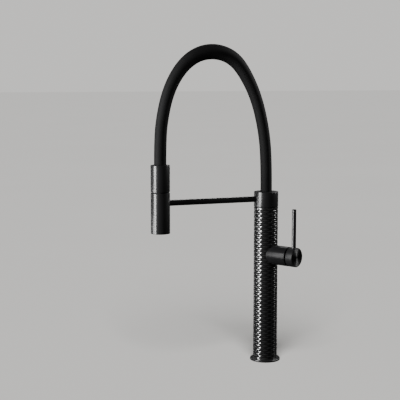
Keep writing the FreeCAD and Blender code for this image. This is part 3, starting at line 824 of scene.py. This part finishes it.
class FAUCET_OT_woven_sleeve(bpy.types.Operator):
    """Raise the basket weave on the column's sleeve"""

    bl_idname = "faucet.woven_sleeve"
    bl_label = "Woven sleeve"

    # Half of a strand's width, as a share of its pitch, then its height where it passes
    # under and how much it gains where it passes over, as shares of the relief.
    upright_strand = (0.28, 0.15, 0.40)
    level_strand = (0.40, 0.48, 0.52)
    plain_share = 0.3

    def execute(self, context):
        sizes = context.scene.faucet_column
        outer = SLEEVE_HIGH.x
        root = outer - sizes.relief
        low, high = SLEEVE_LOW.z, SLEEVE_HIGH.z
        around = 2 * math.pi * root
        item = self.sheet(sizes, around, low, high)
        self.raise_relief(item, sizes, around, low, high)
        self.wrap(item, sizes, root)
        self.line_inside(item, root - sizes.backing)
        stub = handle_box("handle_stub")[1]
        combine(item, bar(stub.z + EASY_FIT, 0, 40 * MM, ALONG_HANDLE))
        smoothed(item, math.radians(55))
        colours = context.scene.faucet_colours
        coat = shared("woven_black", woven_black, colours.black, root, outer)
        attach(dressed(item, coat, "woven_black", "woven_sleeve"), "mixer_body")
        return {"FINISHED"}

    def sheet(self, sizes, around, low, high):
        """A flat grid as wide as the column is round, standing in the X-Z plane."""
        bpy.ops.object.select_all(action="DESELECT")
        bpy.ops.mesh.primitive_grid_add(
            x_subdivisions=sizes.strands * sizes.strand_quads,
            y_subdivisions=sizes.rows * sizes.row_quads,
            size=1, rotation=(math.radians(90), 0, 0), location=(0, 0, (low + high) / 2))
        item = bpy.context.active_object
        item.name = "column_weave"
        item.data.name = "column_weave"
        item.scale = (around, high - low, 1)
        bpy.ops.object.transform_apply(location=True, rotation=True, scale=True)
        return item

    def raise_relief(self, item, sizes, around, low, high):
        """Pull the grid's vertices out into strands that pass over and under each other."""
        pitch = (high - low) / sizes.rows
        for vertex in item.data.vertices:
            strand = (vertex.co.x / around + 0.5) * sizes.strands
            row = (vertex.co.z - low) / pitch - 0.5
            from_end = min(vertex.co.z - low, high - vertex.co.z) / sizes.rim
            share = min(1.0, max(0.0, from_end - self.plain_share))
            rise = self.weave(strand, row) - sizes.rim_height
            vertex.co.y = -(sizes.rim_height + rise * share) * sizes.relief

    def weave(self, strand, row):
        """The height, from 0 to 1, of a plain weave; whole numbers are strand middles."""
        wave = 0.5 * math.cos(math.pi * strand) * math.cos(math.pi * row)
        upright = self.strand_height(strand, 0.5 - wave, *self.upright_strand)
        level = self.strand_height(row, 0.5 + wave, *self.level_strand)
        return max(upright, level)

    def strand_height(self, place, over, half_width, under, gain):
        """A flat-backed strand's height, at a place measured in pitches."""
        offset = (place - round(place)) / half_width
        return math.sqrt(max(0.0, 1 - offset ** 6)) * (under + gain * over)

    def wrap(self, item, sizes, root):
        """Bend the sheet round the column and close its seam."""
        alone(item)
        bend = item.modifiers.new("wrap", "SIMPLE_DEFORM")
        bend.deform_method = "BEND"
        bend.deform_axis = "Z"
        bend.angle = 2 * math.pi
        bpy.ops.object.modifier_apply(modifier=bend.name)
        turn = Matrix.Rotation(sizes.weave_turn - math.radians(90), 4, "Z")
        set_in(item, turn @ Matrix.Translation((0, -root, 0)))
        cleaned(item)

    def line_inside(self, item, radius):
        """Close the sleeve with a plain inner wall."""
        alone(item)
        bpy.ops.object.mode_set(mode="EDIT")
        select_where(item, "EDGE", lambda edge: edge.is_boundary)
        bpy.ops.mesh.extrude_edges_move(TRANSFORM_OT_translate={"value": (0, 0, 0)})
        mesh = bmesh.from_edit_mesh(item.data)
        for vertex in mesh.verts:
            if vertex.select:
                vertex.co.xy = vertex.co.xy.normalized() * radius
        bmesh.update_edit_mesh(item.data)
        bpy.ops.mesh.bridge_edge_loops()
        finish_editing()


class FAUCET_OT_deck_pieces(bpy.types.Operator):
    """Turn the base ring and cut the thread of the shank below the worktop"""

    bl_idname = "faucet.deck_pieces"
    bl_label = "Base and shank"

    # The thread's depth and the width of its ridge, as shares of the pitch, and the steps
    # in one turn.
    thread_depth = 0.55
    ridge_width = 0.86
    turn_steps = 64

    def execute(self, context):
        self.base_ring(context)
        self.shank(context)
        return {"FINISHED"}

    def base_ring(self, context):
        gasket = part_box("base_gasket")[1]
        sizes = context.scene.faucet_column
        groove = sizes.gasket_groove
        outer, top = RING_HIGH.x, RING_HIGH.z
        bore = thread_radius() + EASY_FIT
        item = turned("base_flange", [
            (bore, 0), (groove, 0), (groove, gasket.z), (gasket.x, gasket.z), (gasket.x, 0),
            (outer, 0, SMALL_EDGE), (outer, top, sizes.ring_edge), (bore, top),
        ])
        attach(dressed(smoothed(item), black(), "satin_black", "base_ring"), "mixer_body")

    def shank(self, context):
        sizes = context.scene.faucet_column
        pitch = sizes.thread_pitch
        outer = thread_radius()
        core = outer - pitch * self.thread_depth
        low, flange = SHANK_LOW.z, RING_HIGH.z
        bore, lead = sizes.shank_bore, sizes.thread_lead
        item = turned("shank", [
            (bore, low), (core - lead, low), (core, low + lead * 1.5), (core, flange),
            (SHANK_HIGH.x, flange), (SHANK_HIGH.x, SHANK_HIGH.z), (bore, SHANK_HIGH.z),
        ])
        combine(item, self.ridge(core, outer, pitch, low + pitch, -pitch), "UNION")
        brass = shared("brass", machined, context.scene.faucet_colours.brass, 0.26)
        smoothed(item)
        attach(dressed(item, brass, "brass", "threaded_shank"), "mixer_body")

    def ridge(self, core, outer, pitch, low, high):
        """One helical ridge, wound from a three-sided ring."""
        bpy.ops.object.select_all(action="DESELECT")
        bpy.ops.mesh.primitive_circle_add(
            vertices=3, radius=(outer - core) * 2 / 3, location=(0, 0, 0),
            rotation=(math.radians(90), math.radians(90), 0))
        bpy.ops.object.transform_apply(location=True, rotation=True, scale=True)
        item = bpy.context.active_object
        flat = item.data.vertices
        reach = max(vertex.co.x for vertex in flat)
        height = max(vertex.co.z for vertex in flat) * 2
        wide = pitch * self.ridge_width / height
        item.matrix_world = (
            Matrix.Translation((outer - reach - 0.01 * MM, 0, low))
            @ Matrix.Diagonal((1.0, 1.0, wide, 1.0)))
        bpy.ops.object.transform_apply(location=True, rotation=True, scale=True)
        screw = item.modifiers.new("thread", "SCREW")
        screw.steps = screw.render_steps = self.turn_steps
        screw.angle = 2 * math.pi
        screw.screw_offset = pitch
        screw.iterations = int((high - low) / pitch)
        screw.use_merge_vertices = False
        bpy.ops.object.modifier_apply(modifier=screw.name)
        bpy.ops.object.mode_set(mode="EDIT")
        select_where(item, "EDGE", lambda edge: edge.is_boundary)
        bpy.ops.mesh.edge_face_add()
        finish_editing()
        return item


class FAUCET_OT_handle(bpy.types.Operator):
    """Turn the handle's housing, the ridged knob and the lever"""

    bl_idname = "faucet.handle"
    bl_label = "Handle"

    def execute(self, context):
        sizes = context.scene.faucet_handle
        self.stub(sizes)
        self.knob(context, sizes)
        self.lever(sizes)
        return {"FINISHED"}

    def stub(self, sizes):
        low, high = handle_box("handle_stub")
        bore = handle_box("cartridge_nut")[1].z + 0.02 * MM
        root = low.x - 10 * MM
        item = set_in(turned("handle_housing", [
            (bore, root), (high.z, root), (high.z, high.x, sizes.edge), (bore, high.x),
        ]), ALONG_HANDLE)
        middle, reach = HANDLE.translation.z, 30 * MM
        combine(item, bar(SHANK_HIGH.x, middle - reach, middle + reach))
        smoothed(item)
        coat = black(ALONG_HANDLE)
        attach(dressed(item, coat, "satin_black", "handle_stub"), "mixer_body")

    def knob(self, context, sizes):
        low, high = handle_box("handle_knob")
        stem = handle_box("valve_stem")[1]
        outer = high.z - EASY_FIT
        rim = outer - sizes.rim
        recess = low.x + sizes.recess
        face = high.x - EASY_FIT
        corners = [(CENTRE, face)]
        corners += self.ridges(sizes, CENTRE, outer - sizes.face_rim, face)
        corners += [
            (outer, high.x, sizes.edge), (outer, low.x, sizes.edge), (rim, low.x),
            (rim, recess), (stem.z, recess), (stem.z, stem.x + HOLE_ROOM),
        ]
        item = set_in(turned("knob", corners, filled=True), ALONG_HANDLE)
        lever_low, lever_high = handle_box("lever_rod")
        middle = (lever_low + lever_high) / 2
        upright = HANDLE @ Matrix.Translation((middle.x, 0, 0))
        socket = (lever_high.y - lever_low.y) / 2 + 0.03 * MM
        combine(item, bar(socket, lever_low.z, 30 * MM, upright))
        combine(item, bar(sizes.screw_hole, -30 * MM, -stem.z + HOLE_ROOM, upright))
        smoothed(item)
        coat = shared("turned_black", turned_black, context.scene.faucet_colours.black,
                      ALONG_HANDLE)
        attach(dressed(item, coat, "satin_black", "handle_knob"), "handle")

    def ridges(self, sizes, start, end, face):
        """Corners of low ridges that ring the knob's face."""
        count = int((end - start) / sizes.ridge_pitch)
        rise = sizes.ridge_pitch / 2 * math.tan(sizes.ridge_slope)
        corners = []
        for i in range(count):
            radius = start + (i + 0.5) * sizes.ridge_pitch
            corners += [(radius, face - rise), (radius + sizes.ridge_pitch / 2, face)]
        return corners

    def lever(self, sizes):
        low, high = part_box("lever_rod")
        middle = (low + high) / 2
        radius = (high.y - low.y) / 2
        item = set_in(turned("lever", [
            (radius, low.z), (radius, high.z, sizes.lever_edge), (CENTRE, high.z),
        ], sides=64, filled=True), Matrix.Translation((middle.x, middle.y, 0)))
        smoothed(item)
        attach(dressed(item, black(), "satin_black", "lever_rod"), "handle")


class FAUCET_OT_spout(bpy.types.Operator):
    """Turn the swivel collar and the arm that holds the spray head"""

    bl_idname = "faucet.spout"
    bl_label = "Collar and arm"

    def execute(self, context):
        edge = context.scene.faucet_handle.edge
        arm_low, arm_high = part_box("spout_arm")
        radius = arm_high.y
        height = (arm_low.z + arm_high.z) / 2
        self.collar(edge, radius, height)
        self.arm(radius, height, arm_high.x)
        return {"FINISHED"}

    def collar(self, edge, arm_radius, arm_height):
        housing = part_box("swivel_housing")[1]
        bore = housing.x + CLOSE_FIT
        seat = housing.z + GAP
        mouth = bpy.context.scene.faucet_hose.collar_mouth
        item = turned("collar", [
            (bore, COLLAR_LOW.z), (COLLAR_HIGH.x, COLLAR_LOW.z, edge),
            (COLLAR_HIGH.x, COLLAR_HIGH.z, edge), (mouth, COLLAR_HIGH.z, SMALL_EDGE),
            (mouth, seat), (bore, seat),
        ])
        towards_arm = Matrix.Translation((0, 0, arm_height)) @ Matrix.Rotation(
            math.radians(-90), 4, "Y")
        combine(item, bar(arm_radius + CLOSE_FIT, 12 * MM, 30 * MM, towards_arm))
        smoothed(item)
        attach(dressed(item, black(), "satin_black", "swivel_collar"), "spout")

    def arm(self, radius, height, root):
        saddle = SHELL_HIGH.y + GAP
        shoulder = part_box("swivel_housing")[0].x - GAP
        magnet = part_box("dock_magnet")[1]
        start = HEAD_AXIS.translation.x + saddle - 3 * MM
        spigot = 2.5 * MM
        item = turned("arm", [
            (CENTRE, start), (radius, start), (radius, shoulder),
            (spigot, shoulder), (spigot, root), (CENTRE, root),
        ], sides=96, filled=True)
        lying = Matrix.Translation((0, 0, height)) @ Matrix.Rotation(math.radians(90), 4, "Y")
        set_in(item, lying)
        combine(item, bar(saddle, height - 20 * MM, height + 20 * MM, HEAD_AXIS))
        combine(item, bar(magnet.y, start - 10 * MM, magnet.x + HOLE_ROOM, lying))
        smoothed(item)
        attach(dressed(item, black(), "satin_black", "spout_arm"), "spout")


class FAUCET_OT_spray_head(bpy.types.Operator):
    """Turn both halves of the spray head"""

    bl_idname = "faucet.spray_head"
    bl_label = "Spray head"

    def execute(self, context):
        edge = context.scene.faucet_handle.edge
        seam_edge = edge / 3
        outer = SHELL_HIGH.y
        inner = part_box("hose_end_fitting")[1].y + CLOSE_FIT
        mouth = context.scene.faucet_hose.head_mouth
        step = END_HIGH.z - 3 * MM
        item = set_in(turned("hose_end_shell", [
            (inner, END_LOW.z), (outer, END_LOW.z, seam_edge), (outer, END_HIGH.z, edge),
            (mouth, END_HIGH.z, SMALL_EDGE), (mouth, step), (inner, step),
        ]), HEAD_AXIS)
        smoothed(item)
        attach(dressed(item, black(), "satin_black", "hose_end_sleeve"), "hose_end")
        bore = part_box("aerator_housing")[1].y + CLOSE_FIT
        item = set_in(turned("spray_body", [
            (bore, SHELL_LOW.z), (outer, SHELL_LOW.z, edge),
            (outer, SHELL_HIGH.z, seam_edge), (bore, SHELL_HIGH.z),
        ]), HEAD_AXIS)
        smoothed(item)
        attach(dressed(item, black(), "satin_black", "spray_shell"), "spray_head")
        return {"FINISHED"}


# The finish of every CAD node that stays in view.
KEPT_NODES = {
    "brass": ("clamp_nut", "swivel_spindle", "swivel_housing", "hose_seat", "valve_block"),
    "brass_handle": ("cartridge_nut",),
    "brass_head": ("hose_end_fitting", "spray_bush"),
    "steel": ("column_tube", "steel_washer", "cold_inlet_pipe", "hot_inlet_pipe",
              "mixed_water_pipe", "spindle_clip"),
    "steel_handle": ("stem_pin", "valve_stem", "knob_screw"),
    "steel_head": ("head_clip", "dock_steel_ring", "inlet_filter"),
    "nickel": ("dock_magnet",),
    "ceramic": ("fixed_disc", "moving_disc"),
    "seal_rubber": ("base_gasket", "rubber_washer", "port_seals", "spindle_o_rings",
                    "head_o_ring", "aerator_seal"),
    "dark_plastic": ("slip_ring", "head_slip_ring", "aerator_housing"),
    "pale_plastic": ("cartridge_base", "cartridge_shell", "valve_rotor", "disc_carrier",
                     "waterway", "check_valve", "aerator_insert"),
}


class FAUCET_OT_inside(bpy.types.Operator):
    """Give the CAD pieces that stay in view their finishes"""

    bl_idname = "faucet.inside"
    bl_label = "Inner pieces"

    def execute(self, context):
        colours = context.scene.faucet_colours
        makers = {
            "brass": (machined, colours.brass, 0.26),
            "brass_handle": (machined, colours.brass, 0.26, ALONG_HANDLE),
            "brass_head": (machined, colours.brass, 0.26, HEAD_AXIS),
            "steel": (machined, colours.steel, 0.24),
            "steel_handle": (machined, colours.steel, 0.22, ALONG_HANDLE),
            "steel_head": (machined, colours.steel, 0.24, HEAD_AXIS),
            "nickel": (machined, colours.nickel, 0.14),
            "ceramic": (moulded, colours.ceramic, 0.12, 0.03),
            "seal_rubber": (rubber, colours.seal, 1500, 0.6),
            "dark_plastic": (moulded, colours.dark, 0.5, 0.12, 0.1),
            "pale_plastic": (moulded, colours.pale, 0.38),
        }
        for finish, names in KEPT_NODES.items():
            material = shared(finish, *makers[finish])
            for name in names:
                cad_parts[name].material_slots[0].material = material
        return {"FINISHED"}


class FAUCET_PT_panel(bpy.types.Panel):
    """Buttons that build the faucet piece by piece"""

    bl_idname = "FAUCET_PT_panel"
    bl_label = "Faucet"
    bl_space_type = "VIEW_3D"
    bl_region_type = "UI"
    bl_category = "Faucet"

    def draw(self, context):
        for maker in MAKERS:
            self.layout.operator(maker.bl_idname)


MAKERS = (
    FAUCET_OT_stage, FAUCET_OT_hose, FAUCET_OT_woven_sleeve, FAUCET_OT_deck_pieces,
    FAUCET_OT_handle, FAUCET_OT_spout, FAUCET_OT_spray_head, FAUCET_OT_inside,
)
SETTINGS = {
    "faucet_stage": FaucetStage,
    "faucet_colours": FaucetColours,
    "faucet_column": FaucetColumn,
    "faucet_handle": FaucetHandle,
    "faucet_hose": FaucetHose,
}


def register():
    for name, group in SETTINGS.items():
        bpy.utils.register_class(group)
        setattr(bpy.types.Scene, name, PointerProperty(type=group))
    for maker in (*MAKERS, FAUCET_PT_panel):
        bpy.utils.register_class(maker)


def unregister():
    for maker in (FAUCET_PT_panel, *reversed(MAKERS)):
        bpy.utils.unregister_class(maker)
    for name, group in SETTINGS.items():
        delattr(bpy.types.Scene, name)
        bpy.utils.unregister_class(group)


def main():
    """Build everything in order."""
    register()
    for maker in MAKERS:
        group, name = maker.bl_idname.split(".")
        if getattr(getattr(bpy.ops, group), name)() != {"FINISHED"}:
            raise RuntimeError(f"{maker.bl_label} did not finish")


if __name__ == "__main__":
    main()
